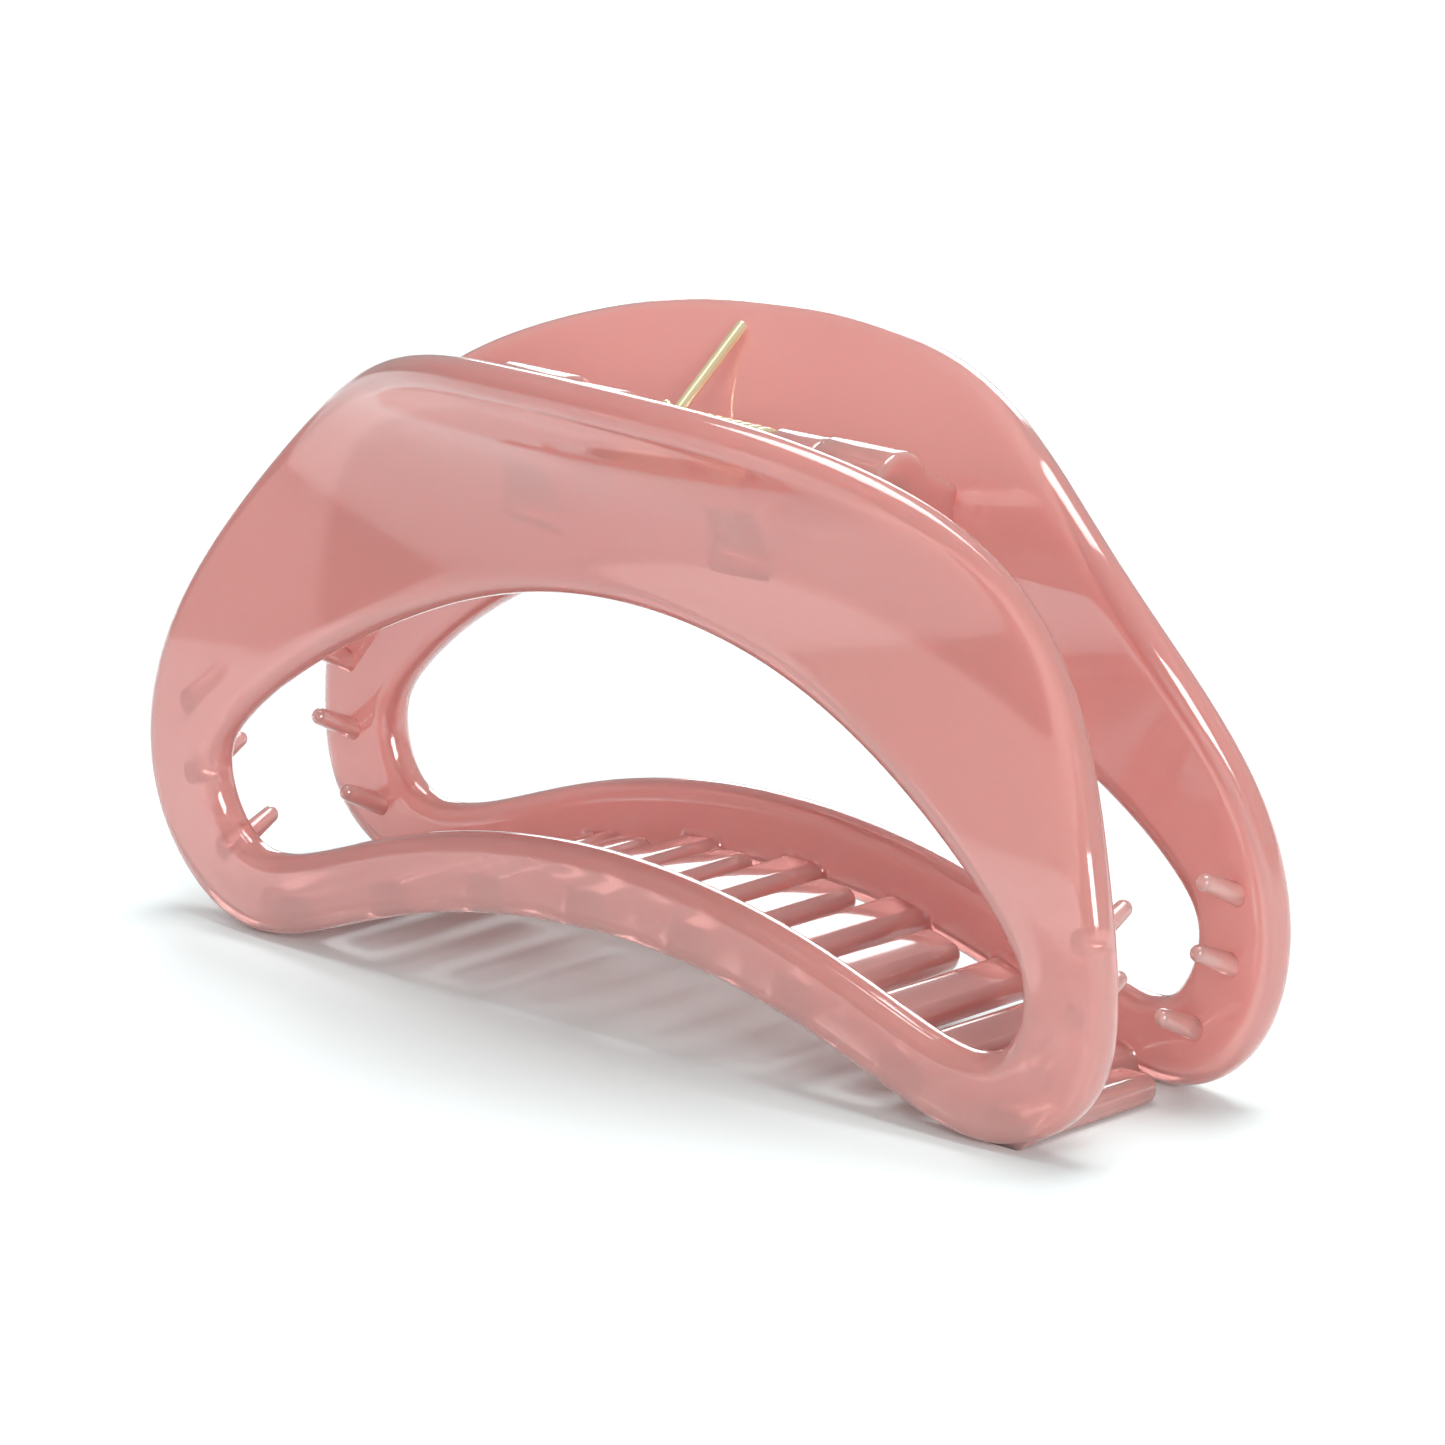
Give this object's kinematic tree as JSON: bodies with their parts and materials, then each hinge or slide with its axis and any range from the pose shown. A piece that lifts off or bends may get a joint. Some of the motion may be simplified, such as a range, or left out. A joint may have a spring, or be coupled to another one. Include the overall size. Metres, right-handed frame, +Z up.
{
  "type": "hair claw clip",
  "caption": "Large sprung hair claw clip: two curved translucent jaws with crescent windows, interlocking teeth and end pegs, hinged on a pin with a coiled wire spring.",
  "frame": {"origin": "on the surface the clip stands on, under the middle of the closed clip", "axes": "+X along the hinge and the clip's length, +Y from the front jaw to the rear jaw, +Z up towards the handles"},
  "size_m": [0.105, 0.0348, 0.0541],
  "materials": {
    "pink_plastic": "polished, translucent milky pink",
    "pin_steel": "bright drawn steel",
    "gold_wire": "polished gold plating"
  },
  "bodies": {
    "rear": {"rear_jaw": "pink_plastic", "hinge_pin": "pin_steel", "torsion_spring": "gold_wire"},
    "front": {"front_jaw": "pink_plastic"}
  },
  "joints": [
    {"name": "jaw_hinge", "type": "hinge", "parent": "rear", "child": "front", "pos_m": [0, 0, 0.04615], "axis": [-1, 0, 0], "range_deg": [0, 115], "stiffness_Nm_per_rad": 0.053, "springref_deg": -68.75, "deforming": ["torsion_spring"]}
  ]
}
